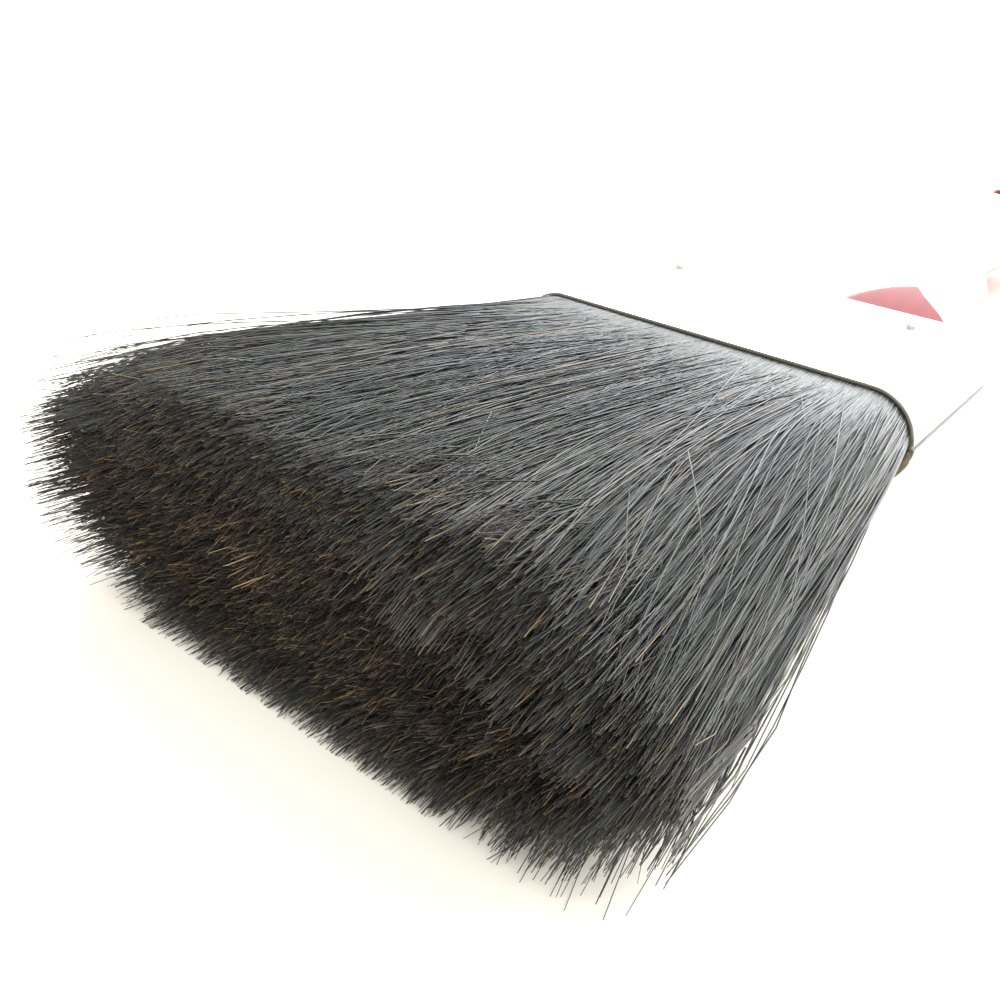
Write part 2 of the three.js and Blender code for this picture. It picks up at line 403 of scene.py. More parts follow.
bristle_numbers = {
    "Count": 4000, "Points": 9, "Sides": 3, "Seed": 0,
    "Mouth Half Width": mouth_half_width, "Mouth Half Thickness": mouth_half_thickness,
    "Mouth Corner": mouth_corner, "Mouth Flat Share": 0.72,
    "Tip Half Width": tip_half_width, "Tip Half Thickness": tip_half_thickness,
    "Tip Corner": tip_corner, "Tip Flat Share": 0.36, "Side Bulge": side_bulge,
    "Mouth Y": mouth_y, "Axis Z": axis_z, "Table Z": cad_low.z + 0.12 * MM,
    "Widest": tip_half_width + 1.5 * MM, "Top Z": cad_high.z + 0.4 * MM,
    "Length": bristle_length, "Start": -3 * MM, "Start Spread": 0.0, "Longest": 1.0,
    "Shorter At Edge": 0.3 * MM, "Ragged": 7.0 * MM, "Edge Droop": 0.26,
    "Across From": -1.0, "Across To": 1.0, "Innermost": 0.9, "Outermost": 0.985,
    "Upper Share": 1.0, "Locks": 34.0, "Layers": 1.0, "Lock Pull": 0.9, "Layer Pull": 0.0,
    "Lock Depth": 0.12, "Lock Curl": 0.0,
    "Lock Lean": 0.035, "Lean": 0.0, "Lean Spread": 0.0, "Wander": 0.12,
    "Bend": 0.7 * MM, "Lift": 0.02, "Tip Curl": 0.8 * MM,
    "Radius": 0.1 * MM, "Tip Thinning": 0.6,
}
whole_numbers = ("Count", "Points", "Sides", "Seed")


def bristle_tree():
    """Geometry nodes for one bundle of bristles. The count, sizes and habit are its inputs."""
    sizes = {name: "Int" if name in whole_numbers else "Float" for name in bristle_numbers}
    tree, given, result = new_group(
        "bristle_bundle", "GeometryNodeTree",
        {"Geometry": "Geometry", **sizes, "Finish": "Material"}, {"Geometry": "Geometry"})
    nodes, links = tree.nodes, tree.links

    def size(name):
        return Field(tree, given[name])

    def step(kind, **inlets):
        node = nodes.new(kind)
        for name, source in inlets.items():
            place = node.inputs[name.replace("_", " ")]
            if isinstance(source, Field):
                links.new(source.socket, place)
            elif isinstance(source, bpy.types.NodeSocket):
                links.new(source, place)
            else:
                place.default_value = source
        return node

    cloud = step("GeometryNodePoints", Count=size("Count"))
    line = step("GeometryNodeCurvePrimitiveLine")
    stepped = step("GeometryNodeResampleCurve", Curve=line.outputs["Curve"], Count=size("Points"))
    placed = step("GeometryNodeInstanceOnPoints",
                  Points=cloud.outputs[0], Instance=stepped.outputs[0])
    loose = step("GeometryNodeRealizeInstances", Geometry=placed.outputs[0])

    bristle = Field(tree, nodes.new("GeometryNodeCurveOfPoint").outputs["Curve Index"])
    along = Field(tree, nodes.new("GeometryNodeSplineParameter").outputs["Factor"])

    def chance(salt, low=0.0, high=1.0, owner=bristle):
        """A random number, the same all along one bristle, or all through one lock."""
        node = step("FunctionNodeRandomValue", ID=owner, Seed=size("Seed") + float(salt))
        node.inputs[2].default_value = low
        node.inputs[3].default_value = high
        return Field(tree, node.outputs[1])

    # Where it belongs: across the tuft (-1 to 1), above or below, and how deep.
    across = size("Across From").towards(size("Across To"), chance(1))
    above = (size("Upper Share") - chance(2)).run("SIGN")
    deep = size("Innermost").towards(size("Outermost"), chance(3) ** 0.5)

    # How far out each point is. Bristles at the edge of the end face are trimmed shorter.
    trimmed = size("Shorter At Edge") * deep ** 5.0 + size("Ragged") * chance(4) ** 2.5
    start = size("Start") + size("Start Spread") * chance(17)
    end = (size("Length") - trimmed).run("MINIMUM", start + size("Longest"))
    out = start.towards(end, along)
    share = (out / size("Length")).kept_0_to_1()

    # Neighbours gather into locks, more firmly in some locks than in others.
    lock = (across * size("Locks") + chance(5, -0.35, 0.35)).run("ROUND")
    layer = (deep * size("Layers") + chance(22, -0.3, 0.3)).run("ROUND")
    locks_apart = 100.0
    lock = lock + layer * locks_apart
    lock_pull = (size("Lock Pull") * chance(6, 0.1, 1.0, lock) * share ** 1.3).kept_0_to_1()
    lock_centre = (lock - layer * locks_apart + chance(7, -0.3, 0.3, lock)) / size("Locks")
    held = across.towards(lock_centre, lock_pull)
    layer_centre = (layer + chance(23, -0.3, 0.3, lock)) / size("Layers")
    depth = deep.towards(layer_centre, lock_pull * size("Layer Pull"))
    depth = depth + size("Lock Depth") * chance(8, -1.0, 0.3, lock) * share

    # The outline of the tuft at this distance, and the bristle's place on it.
    bulge = share ** size("Side Bulge")
    half_width = size("Mouth Half Width").towards(size("Tip Half Width"), bulge)
    half_thickness = size("Mouth Half Thickness").towards(size("Tip Half Thickness"), share)
    droop = size("Edge Droop") * chance(26, 0.0, 2.0, lock) * share ** 9.0
    half_thickness = half_thickness * (1.0 - droop)
    corner = size("Mouth Corner").towards(size("Tip Corner"), share)
    flat_share = size("Mouth Flat Share").towards(size("Tip Flat Share"), share)
    distance = held.run("ABSOLUTE").kept_0_to_1()
    on_flat = (distance / flat_share).kept_0_to_1()
    round_share = ((distance - flat_share) / (1.0 - flat_share)).kept_0_to_1()
    turned = round_share * (math.pi / 2)
    x = (half_width - corner) * on_flat + corner * turned.run("SINE")
    x = held.run("SIGN") * x * depth
    z = above * half_thickness * turned.run("COSINE") * depth

    # Each bristle has its own lean, its own slow bend and a curl at its tip.
    any_phase = 6.28
    free = out - start.run("MAXIMUM", 0.0)
    free = free.run("MAXIMUM", 0.0)
    lean = chance(9, -1.0, 1.0)
    calm_at_sides = 1.0 - distance ** 6.0
    lean = lean * lean * lean * size("Wander") * calm_at_sides
    lean = lean + chance(20, -1.0, 1.0) * size("Lean Spread")
    lean = lean + (chance(21, -1.0, 1.0, lock) * size("Lock Lean") + size("Lean")) * share
    swing = (share * chance(10, 2.0, 7.0) + chance(11, 0.0, any_phase)).run("SINE")
    curl = share ** 6.0
    curl_x = chance(18, -1.0, 1.0) * size("Tip Curl")
    curl_x = curl_x + chance(24, -1.0, 1.0, lock) * size("Lock Curl")
    curl_z = chance(19, -1.0, 1.0) * size("Tip Curl")
    curl_z = curl_z + chance(25, -1.0, 1.0, lock) * size("Lock Curl")
    x = x + lean * free + swing * size("Bend") * share + curl_x * curl
    x = x.run("MINIMUM", size("Widest")).run("MAXIMUM", size("Widest") * -1.0)
    rise = chance(12, -1.0, 1.0)
    sway = (share * chance(13, 2.0, 6.0) + chance(14, 0.0, any_phase)).run("SINE")
    z = z + rise * rise * rise * size("Lift") * free
    z = z + sway * size("Bend") * share * 0.6 + curl_z * curl
    z = (z + size("Axis Z")).run("MAXIMUM", size("Table Z")).run("MINIMUM", size("Top Z"))

    where = step("ShaderNodeCombineXYZ", X=x, Y=size("Mouth Y") - out, Z=z)
    shaped = step("GeometryNodeSetPosition",
                  Geometry=loose.outputs[0], Position=where.outputs[0])

    # A column of the colour chart for each bristle (u), read from root to tip (v).
    kept = nodes.new("GeometryNodeCaptureAttribute")
    kept.capture_items.new("FLOAT", "Column")
    kept.capture_items.new("FLOAT", "Along")
    links.new(shaped.outputs[0], kept.inputs["Geometry"])
    links.new(chance(15, 0.0, colour_columns - 0.01).run("FLOOR").socket, kept.inputs["Column"])
    links.new(share.socket, kept.inputs["Along"])
    circle = step("GeometryNodeCurvePrimitiveCircle", Radius=1.0, Resolution=size("Sides"))
    edge = nodes.new("GeometryNodeCaptureAttribute")
    edge.capture_items.new("FLOAT", "Around")
    links.new(circle.outputs["Curve"], edge.inputs["Geometry"])
    corner_number = Field(tree, nodes.new("GeometryNodeInputIndex").outputs[0])
    links.new((corner_number / size("Sides")).socket, edge.inputs["Around"])

    taper = 1.0 - size("Tip Thinning") * along ** 1.4
    radius = size("Radius") * chance(16, 0.6, 1.15) * taper
    sized = step("GeometryNodeSetCurveRadius", Curve=kept.outputs["Geometry"], Radius=radius)
    tubes = step("GeometryNodeCurveToMesh", Curve=sized.outputs[0],
                 Profile_Curve=edge.outputs["Geometry"], Fill_Caps=True)
    if "Scale" in tubes.inputs:
        links.new(radius.socket, tubes.inputs["Scale"])
    around = Field(tree, edge.outputs["Around"]) * 0.6 + 0.2  # well inside the column's width
    column = Field(tree, kept.outputs["Column"])
    chart = step("ShaderNodeCombineXYZ", X=(column + around) / float(colour_columns),
                 Y=Field(tree, kept.outputs["Along"]))
    mapped = nodes.new("GeometryNodeStoreNamedAttribute")
    mapped.data_type = "FLOAT2"
    mapped.domain = "CORNER"
    mapped.inputs["Name"].default_value = "OFBake"
    links.new(tubes.outputs[0], mapped.inputs["Geometry"])
    links.new(chart.outputs[0], mapped.inputs["Value"])
    smooth = step("GeometryNodeSetShadeSmooth", Geometry=mapped.outputs[0])
    whole = step("GeometryNodeRealizeInstances", Geometry=smooth.outputs[0])
    finished = step("GeometryNodeSetMaterial", Geometry=whole.outputs[0])
    links.new(given["Finish"], finished.inputs["Material"])
    links.new(finished.outputs[0], result["Geometry"])
    return tree


def blend_colours(tree, share, first, second):
    """The first colour, with the second over it by the share. The second may be a plain colour."""
    node = tree.nodes.new("ShaderNodeMix")
    node.data_type = "RGBA"
    colours = [socket for socket in node.inputs if socket.type == "RGBA"]
    shares = [socket for socket in node.inputs if socket.type == "VALUE"]
    tree.links.new(share, shares[0])
    tree.links.new(first, colours[0])
    if isinstance(second, tuple):
        colours[1].default_value = (*second, 1)
    else:
        tree.links.new(second, colours[1])
    return [socket for socket in node.outputs if socket.type == "RGBA"][0]


def hair_group():
    """How a hair varies: two random shades, a dull tip from a share of its length, and a pale painted
    sheen near the root.
    """
    outlets = ("Body Shade", "Tip Shade", "Near Tip", "Root Haze", "Roughness")
    group, given, result = new_group(
        "hair", "ShaderNodeTree",
        {"Chart": "Vector", "Tip From": "Float"}, {name: "Float" for name in outlets})
    parts = group.nodes.new("ShaderNodeSeparateXYZ")
    group.links.new(given["Chart"], parts.inputs[0])
    column = (Field(group, parts.outputs["X"]) * float(colour_columns)).run("FLOOR")
    along = Field(group, parts.outputs["Y"])
    tip_from = Field(group, given["Tip From"])

    def drawn(offset):
        """A random number, the same all along one hair."""
        noise = group.nodes.new("ShaderNodeTexWhiteNoise")
        noise.noise_dimensions = "1D"
        group.links.new((column + offset).socket, noise.inputs["W"])
        return Field(group, noise.outputs["Value"])

    near_tip = ((along - tip_from) / (1.0 - tip_from)).kept_0_to_1()
    # Painted sheen: a pale highlight painted into the colour over the first part of each hair, fading
    # out by 0.4 of its length.
    root_painted_sheen = (1.0 - along / 0.4).kept_0_to_1() ** 2.0 * 0.04
    roughness = along * 0.2 + drawn(130.5) * 0.12 + 0.24
    fields = (drawn(0.5), drawn(70.5), near_tip, root_painted_sheen, roughness)
    for name, field in zip(outlets, fields):
        group.links.new(field.socket, result[name])
    return group


hair_nodes = hair_group()
# The pale grey-blue of the painted sheen near the root.
painted_sheen_colour = (0.8, 0.85, 0.83)


def bristle_finish(name, body_stops, tip_stops, tip_from=0.88):
    """Keratin: glossy and near black, with a pale painted sheen in its colour near the root, duller
    towards the tip, some tips brown.
    """
    material, tree, surface = new_material(name, 0.35, ior=1.56)
    chart = tree.nodes.new("ShaderNodeUVMap")
    chart.uv_map = "OFBake"
    hair = place_group(tree, hair_nodes, Tip_From=tip_from)
    tree.links.new(chart.outputs["UV"], hair.inputs["Chart"])
    body = colour_ramp(tree, hair.outputs["Body Shade"], body_stops)
    tip = colour_ramp(tree, hair.outputs["Tip Shade"], tip_stops)
    # The painted sheen is mixed over the body colour near the root.
    body_with_painted_sheen = blend_colours(tree, hair.outputs["Root Haze"], body, painted_sheen_colour)
    colour = blend_colours(tree, hair.outputs["Near Tip"], body_with_painted_sheen, tip)
    tree.links.new(colour, surface.inputs["Base Color"])
    tree.links.new(hair.outputs["Roughness"], surface.inputs["Roughness"])
    return material


bundle_tree = bristle_tree()
boar_bristle = bristle_finish(
    "boar_bristle",
    [(0.0, (0.010, 0.0115, 0.012)), (0.88, (0.036, 0.038, 0.037)),
     (0.965, (0.09, 0.075, 0.055)), (1.0, (0.26, 0.19, 0.11))],
    [(0.0, (0.030, 0.033, 0.033)), (0.75, (0.095, 0.098, 0.094)),
     (0.95, (0.15, 0.125, 0.09)), (1.0, (0.30, 0.20, 0.11))], tip_from=0.55)
flagged_tip = bristle_finish(
    "flagged_tip",
    [(0.0, (0.008, 0.008, 0.0075)), (1.0, (0.026, 0.024, 0.021))],
    [(0.0, (0.015, 0.015, 0.0145)), (0.6, (0.046, 0.042, 0.037)),
     (0.86, (0.10, 0.076, 0.051)), (1.0, (0.36, 0.23, 0.11))])
blond_tip = bristle_finish(
    "blond_tip", [(0.0, (0.12, 0.08, 0.04)), (1.0, (0.34, 0.24, 0.12))],
    [(0.0, (0.16, 0.11, 0.06)), (1.0, (0.62, 0.46, 0.24))])


def made_by(tree, name, start, values):
    """The plain mesh that a geometry tree makes of a start mesh, with its inputs set."""
    maker = bpy.data.objects.new(name, start)
    bpy.context.scene.collection.objects.link(maker)
    modifier = maker.modifiers.new(name, "NODES")
    modifier.node_group = tree
    for item in tree.interface.items_tree:
        if item.in_out == "INPUT" and item.name in values:
            modifier[item.identifier] = values[item.name]
    seen = bpy.context.evaluated_depsgraph_get()
    made = bpy.data.meshes.new_from_object(maker.evaluated_get(seen), depsgraph=seen)
    bpy.data.objects.remove(maker)
    made.name = name
    return made


def grow(name, finish, **changes):
    """One piece of bristle, with only the numbers that differ from the bundle's own."""
    values = {**bristle_numbers, "Finish": finish}
    values.update({label.replace("_", " "): value for label, value in changes.items()})
    grown = made_by(bundle_tree, name, bpy.data.meshes.new(name), values)
    place_piece(name, grown, finish, "black_bristle")


grow("bristles_upper_1", boar_bristle, Seed=11, Count=3950, Lock_Pull=1.3)
grow("bristles_upper_2", boar_bristle, Seed=29, Count=3950, Locks=95.0, Lock_Pull=1.5)
grow("bristles_lower", boar_bristle, Seed=47, Count=3950, Upper_Share=0.0, Edge_Droop=0.03)
end_face = {"Points": 5, "Start": bristle_length - 11 * MM, "Start_Spread": 3 * MM,
            "Tip_Flat_Share": 0.28, "Mouth_Flat_Share": 0.28, "Wander": 0.0, "Lock_Lean": 0.0,
            "Tip_Curl": 2.6 * MM, "Lock_Curl": 3.2 * MM, "Radius": 0.075 * MM}
for number, seed in enumerate((61, 83, 101)):
    grow(f"bristle_tips_{number + 1}", flagged_tip, Seed=seed, Count=7400, Upper_Share=0.5,
         Innermost=0.0, Outermost=0.97, Locks=22.0, Layers=6.0, Lock_Pull=0.75, Layer_Pull=1.0,
         Ragged=6 * MM, **end_face)
grow("bristle_tips_blond", blond_tip, Seed=113, Count=14, Upper_Share=0.5,
     Across_From=-1.0, Across_To=-0.92, Innermost=0.15, Outermost=0.2, Lock_Pull=0.0,
     Length=bristle_length + 1.8 * MM, Ragged=1.5 * MM,
     **{**end_face, "Tip_Curl": 1.6 * MM, "Lock_Curl": 1.2 * MM})

# Locks that have come away at the two sides, and single bristles that cross the others.
grow("bristles_far_edge", boar_bristle, Seed=131, Count=760, Points=10, Upper_Share=0.55,
     Across_From=-1.0, Across_To=-0.7, Length=bristle_length + 2.5 * MM,
     Locks=22.0, Lean=-0.012, Wander=0.03, Edge_Droop=0.05, Innermost=0.92, Outermost=1.0,
     Radius=0.085 * MM)
grow("bristles_near_edge", boar_bristle, Seed=149, Count=300, Points=12, Upper_Share=0.1,
     Across_From=0.74, Across_To=1.0, Length=bristle_length + 2 * MM, Ragged=8 * MM,
     Locks=14.0, Lock_Pull=2.6, Lock_Lean=0.04, Lean=-0.018, Wander=0.01, Bend=1.1 * MM,
     Edge_Droop=0.05, Innermost=0.93, Outermost=0.98, Radius=0.085 * MM)
grow("bristles_near_corner", boar_bristle, Seed=191, Count=1500, Points=11, Upper_Share=0.8,
     Across_From=0.35, Across_To=1.0, Length=bristle_length + 1.5 * MM, Ragged=9 * MM,
     Locks=26.0, Lock_Pull=1.2, Edge_Droop=0.42, Lean=-0.05, Wander=0.08, Outermost=0.99)
grow("bristles_stray", boar_bristle, Seed=97, Count=1100, Points=14, Upper_Share=0.85,
     Across_From=-0.62, Across_To=0.62, Wander=0.2, Lean_Spread=0.09, Bend=1.4 * MM,
     Innermost=0.97, Outermost=1.0, Ragged=14 * MM, Locks=60.0, Radius=0.115 * MM)
grow("bristles_broken", boar_bristle, Seed=173, Count=70, Points=14,
     Across_From=-0.7, Across_To=0.55, Start=10 * MM, Start_Spread=40 * MM, Longest=15 * MM,
     Lean_Spread=0.6, Bend=1.6 * MM, Lift=0.0, Innermost=0.995, Outermost=1.02,
     Lock_Depth=0.0, Radius=0.06 * MM)

# ---------------------------------------------------------------------------------------------
# Filler strips: two strips of sawn wood pushed in among the butts of the bristles. They wedge the
# tuft tight in the ferrule. Hidden inside it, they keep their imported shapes.
# ---------------------------------------------------------------------------------------------
filler_wood, wood_tree, wood_surface = new_material("filler_wood", 0.7)
wood_grain = grain(wood_tree, (40, 900, 900), 5.0)
wood_colour = colour_ramp(wood_tree, wood_grain,
                          [(0.3, (0.42, 0.27, 0.13)), (0.7, (0.66, 0.47, 0.27))])
wood_tree.links.new(wood_colour, wood_surface.inputs["Base Color"])


def bump(tree, height, strength, distance):
    """The normal of a surface whose height varies by up to the distance."""
    node = tree.nodes.new("ShaderNodeBump")
    node.inputs["Distance"].default_value = distance
    if isinstance(strength, float):
        node.inputs["Strength"].default_value = strength
    else:
        tree.links.new(strength, node.inputs["Strength"])
    tree.links.new(height, node.inputs["Height"])
    return node.outputs["Normal"]


wood_tree.links.new(bump(wood_tree, wood_grain, 0.4, 0.1 * MM), wood_surface.inputs["Normal"])
for strip in ("filler_strip_upper", "filler_strip_lower"):
    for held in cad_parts[strip].material_slots:
        held.material = filler_wood

# ---------------------------------------------------------------------------------------------
# Resin: the dark glue that sets the butts of the bristles. A bead of it has run out of the mouth
# and hardened on the rim, just below the seam.
# ---------------------------------------------------------------------------------------------
bead_from_degrees = -2
bead_turn_degrees = -50
bead_radius = 0.62 * MM
bead_lump = 0.08 * MM
bead_lump_rate = 9
bead_flatness = 0.8
bead_past_mouth = 0.35 * MM
bead_setback = 0.12 * MM

setting_resin, resin_tree, resin_surface = new_material("setting_resin", 0.3)
resin_colour = colour_ramp(resin_tree, grain(resin_tree, (700, 700, 700), 4.0),
                           [(0.35, (0.05, 0.036, 0.018)), (0.7, (0.16, 0.12, 0.065))])
resin_tree.links.new(resin_colour, resin_surface.inputs["Base Color"])
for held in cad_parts["resin_setting"].material_slots:
    held.material = setting_resin

corner_centre = Vector((mouth_half_width - mouth_corner, mouth_y - bead_setback, axis_z))
bead_rings = []
for share in np.linspace(0.01, 0.99, 17):
    angle = math.radians(bead_from_degrees + bead_turn_degrees * share)
    lumpy = bead_radius + bead_lump * math.sin(bead_lump_rate * share)
    radius = lumpy * math.sin(math.pi * share) ** 0.5
    outwards = Vector((math.cos(angle), 0, math.sin(angle)))
    middle = corner_centre + outwards * (mouth_half_thickness + bead_past_mouth)
    ring = []
    for turn in np.linspace(0, 2 * math.pi, 14, endpoint=False):
        along = Vector((0, bead_flatness * math.sin(turn), 0))
        ring.append(middle + radius * (math.cos(turn) * outwards + along))
    bead_rings.append(ring)
place_piece("resin_bead", closed_skin("resin_bead", bead_rings), setting_resin, "setting_resin")

# ---------------------------------------------------------------------------------------------
# Ferrule: one strip of tin-plated steel wrapped round the bristles and the handle's tongue, its
# edge lapped and soldered down the middle of one side, and dimpled where the nails go in.
# ---------------------------------------------------------------------------------------------
ferrule_length = 28.0 * MM
mouth_size = (50.0 * MM, 11.0 * MM)
back_size = (50.4 * MM, 12.6 * MM)
sheet = 0.5 * MM
seam_width = 3.0 * MM
seam_rise = 0.3 * MM
nail_y = mouth_y + 23.8 * MM
nail_x = (back_size[0] / 2) - 9.23 * MM
dimple_depth = 0.22 * MM
dimple_radius = 2.0 * MM
lap_slope = 0.4 * MM
solder_share = 0.3
solder_slope = 0.6 * MM
solder_from = 0.4 * MM
wave_height = 0.035 * MM
wave_across = 7.3 * MM
wave_along = 8.1 * MM
sleeve_side_steps = 40
sleeve_flat_steps = 52
seam_heights = np.array([-1.5, -1.3, -1.1, -0.3, -0.03, 0.03, 0.2, 0.39, 0.43, 0.9, 1.5, 1.6]) * MM
seam_angles = np.arcsin(seam_heights / (mouth_size[1] / 2))


def ferrule_half_sizes(y):
    """Half the ferrule's width and thickness at y, from its mouth to its wider back."""
    share = (y - mouth_y) / ferrule_length
    return [(front + (back - front) * share) / 2 for front, back in zip(mouth_size, back_size)]


def ferrule_ring(y, inset):
    """A ring of the ferrule, drawn in by the inset, with its seam, dimples and soft waviness."""
    half_width, half_thickness = ferrule_half_sizes(y)
    ring = outline(y, half_width - inset, half_thickness - inset, half_thickness - inset,
                   sleeve_side_steps, sleeve_flat_steps, seam_angles)
    x, z = ring[:, 0], ring[:, 2] - axis_z
    near_nail = np.hypot(np.abs(x) - nail_x, y - nail_y)
    dimple = dimple_depth * np.exp(-(near_nail / dimple_radius) ** 2)
    wave = wave_height * np.sin(x / wave_across + 1.1) * np.sin((y - mouth_y) / wave_along + 0.4)
    ring[:, 2] += (wave - dimple) * np.sign(z) * np.clip(np.abs(z) / half_thickness, 0, 1) ** 6
    if inset < sheet / 2:
        lapped = np.clip((z + seam_width / 2) / lap_slope, 0, 1) * (z < 0.001 * MM)
        soldered = np.clip((seam_width / 2 - z) / solder_slope, 0, 1) * (z > solder_from)
        ring[:, 0] += seam_rise * (lapped + solder_share * soldered) * (x > 0)
    return ring


lip = sheet / 2
lip_turns = np.linspace(0, math.pi, 7)
ferrule_path = [(mouth_y + lip - lip * math.sin(t), lip + lip * math.cos(t)) for t in lip_turns]
back_y = mouth_y + ferrule_length
outside = np.linspace(mouth_y + lip, back_y - lip, 56)[1:-1]
ferrule_path += [(y, 0.0) for y in outside]
ferrule_path += [(back_y - lip + lip * math.sin(t), lip - lip * math.cos(t)) for t in lip_turns]
ferrule_path += [(y, sheet) for y in outside[::-1]]
ferrule_mesh = closed_skin("ferrule", [ferrule_ring(y, inset) for y, inset in ferrule_path], True)


def metal_wear_group():
    """Marks on plated sheet metal: hairline scratches, smudges and specks of stain."""
    group, given, result = new_group(
        "metal_wear", "ShaderNodeTree",
        {"Scratch Depth": "Float", "Smudges": "Float", "Base Roughness": "Float"},
        {"Roughness": "Float", "Stain": "Float", "Normal": "Vector"})
    scratches = grain(group, (3500, 60, 3500), 6.0, (3.1, 6.2, 9.3))
    smudges = Field(group, grain(group, (130, 90, 130), 4.0, (7.7, 15.4, 23.1)))
    specks = Field(group, grain(group, (900, 900, 900), 3.0, (1.3, 2.6, 3.9)))
    dulled = ((smudges - 0.42) * 3.0).kept_0_to_1() * Field(group, given["Smudges"])
    fine = (Field(group, scratches) - 0.5) * 0.12
    roughness = dulled + Field(group, given["Base Roughness"]) + fine
    group.links.new(roughness.socket, result["Roughness"])
    stain = ((specks - 0.68) * 6.0).kept_0_to_1()
    group.links.new(stain.socket, result["Stain"])
    normal = bump(group, scratches, given["Scratch Depth"], 0.02 * MM)
    group.links.new(normal, result["Normal"])
    return group


metal_wear = metal_wear_group()


def plated_metal(name, clean, stained, roughness, scratch_depth):
    """Steel under tin plate. Its tree, surface and colour come too, to add to on one piece."""
    material, tree, surface = new_material(name, roughness, metallic=1.0)
    wear = place_group(tree, metal_wear, Base_Roughness=roughness, Scratch_Depth=scratch_depth,
                       Smudges=0.12)
    colour = colour_ramp(tree, wear.outputs["Stain"], [(0.0, clean), (1.0, stained)])
    tree.links.new(colour, surface.inputs["Base Color"])
    tree.links.new(wear.outputs["Roughness"], surface.inputs["Roughness"])
    tree.links.new(wear.outputs["Normal"], surface.inputs["Normal"])
    return material, tree, surface, colour


ferrule_steel, steel_tree, steel_surface, steel_colour = plated_metal(
    "tin_plated_steel", (0.86, 0.86, 0.84), (0.55, 0.5, 0.42), 0.16, 0.12)


def near_line(position, middle, half_width):
    """A mask that is 1 on a line across a coordinate and fades out at its half width."""
    away = ((position - middle).run("ABSOLUTE") / half_width).kept_0_to_1()
    return (1.0 - away ** 3.0).kept_0_to_1()


# Painted shade: dark lines are painted into the colour along the lap's free edge and round the mouth and
# back rims of the sheet, standing in for the shade in the seam and in the gaps at the rims.
steel_place = steel_tree.nodes.new("ShaderNodeTexCoord")
steel_parts = steel_tree.nodes.new("ShaderNodeSeparateXYZ")
steel_tree.links.new(steel_place.outputs["Object"], steel_parts.inputs[0])
steel_x, steel_y, steel_z = [Field(steel_tree, part) for part in steel_parts.outputs]
seam_side = steel_x.run("GREATER_THAN", 20 * MM)
# Painted shade along the seam on the right-hand side.
seam_painted_shade = near_line(steel_z, axis_z + 0.14 * MM, 0.34 * MM) * (seam_side * 0.9)
mouth_rim_painted_shade = near_line(steel_y, mouth_y, 0.22 * MM)
back_rim_painted_shade = near_line(steel_y, back_y, 0.3 * MM)
painted_shade_lines = seam_painted_shade.run("MAXIMUM", mouth_rim_painted_shade.run("MAXIMUM", back_rim_painted_shade) * 0.95)
painted_shade_colour = (0.075, 0.07, 0.045)
steel_tree.links.new(blend_colours(steel_tree, painted_shade_lines.socket, steel_colour, painted_shade_colour),
                     steel_surface.inputs["Base Color"])
# The painted shade lines are also made non-metallic, so they stay dark.
steel_tree.links.new((1.0 - painted_shade_lines).socket, steel_surface.inputs["Metallic"])
place_piece("ferrule_sleeve", ferrule_mesh, ferrule_steel, "ferrule_steel", "ferrule")

# ---------------------------------------------------------------------------------------------
# Handle: turned and sanded beech, dipped in several coats of red lacquer that round its edges
# and pool to a high gloss. Its tongue fills the back of the ferrule; the end is drilled to hang.
# ---------------------------------------------------------------------------------------------
handle_length = 128.0 * MM
tongue_inset = 0.8 * MM
tongue_y = mouth_y + 16.6 * MM
width_stations = [(0, 24.4), (9, 20.4), (78, 8.5), (112, 11)]
belly_at = 15 * MM
belly_half_thickness = 8.7 * MM
tongue_half_thickness = 5.5 * MM
thickness_stations = [(15, 8.7), (78, 6)]
grip_half_width = 11.0 * MM
grip_half_thickness = 6.0 * MM
handle_side_steps = 20
end_half_width = 2.0 * MM
end_half_thickness = 3.5 * MM
end_rounding = 4.0 * MM
hole_radius = 4.0 * MM
hole_y = cad_high.y - 11.0 * MM
hole_edge = 0.9 * MM


def eased(stations, back):
    """A smooth rise or fall through (distance, value) stations in mm, level at each."""
    places = [place * MM for place, _ in stations]
    values = [value * MM for _, value in stations]
    if back <= places[0]:
        return values[0]
    for number in range(1, len(stations)):
        if back < places[number]:
            share = (back - places[number - 1]) / (places[number] - places[number - 1])
            step = (1 - math.cos(math.pi * share)) / 2
            return values[number - 1] + (values[number] - values[number - 1]) * step
    return values[-1]


def handle_ring(back, half_width):
    """A ring of the handle at a distance behind the ferrule, with its belly and rounded end."""
    over_end = max(0.0, (back - handle_length + end_rounding) / end_rounding)
    rise = math.sin(math.pi / 2 * min(1.0, back / belly_at))
    swollen = tongue_half_thickness + (belly_half_thickness - tongue_half_thickness) * rise
    full = swollen if back < belly_at else eased(thickness_stations, back)
    ended = min(full, end_half_thickness)
    half_thickness = ended + (full - ended) * math.sqrt(max(0.0, 1 - over_end ** 2))
    corner = min(half_width, half_thickness)
    return outline(back_y + back, half_width, half_thickness, corner, handle_side_steps)


def tongue_ring(y):
    """A ring of the tongue, the part of the handle inside the ferrule."""
    half_width, half_thickness = ferrule_half_sizes(y)
    corner = half_thickness - tongue_inset
    return outline(y, half_width - tongue_inset, corner, corner, handle_side_steps)


grip_from = handle_length - grip_half_width
handle_rings = [tongue_ring(tongue_y)]
handle_rings += [handle_ring(back, eased(width_stations, back))
                 for back in np.linspace(0, grip_from, 110)[:-1]]
last_turn = math.acos(end_half_width / grip_half_width)
for turn in np.linspace(0, last_turn, 24):
    reach = grip_from + grip_half_width * math.sin(turn) / math.sin(last_turn)
    handle_rings.append(handle_ring(reach, grip_half_width * math.cos(turn)))


def spindle(outline_points, x, y, sides):
    """A closed turned shape about an upright line, from (radius, height) points."""
    turns = np.linspace(0, 2 * math.pi, sides, endpoint=False)
    rings = [[(x + r * math.cos(t), y + r * math.sin(t), height) for t in turns]
             for r, height in outline_points]
    return closed_skin("spindle", rings)


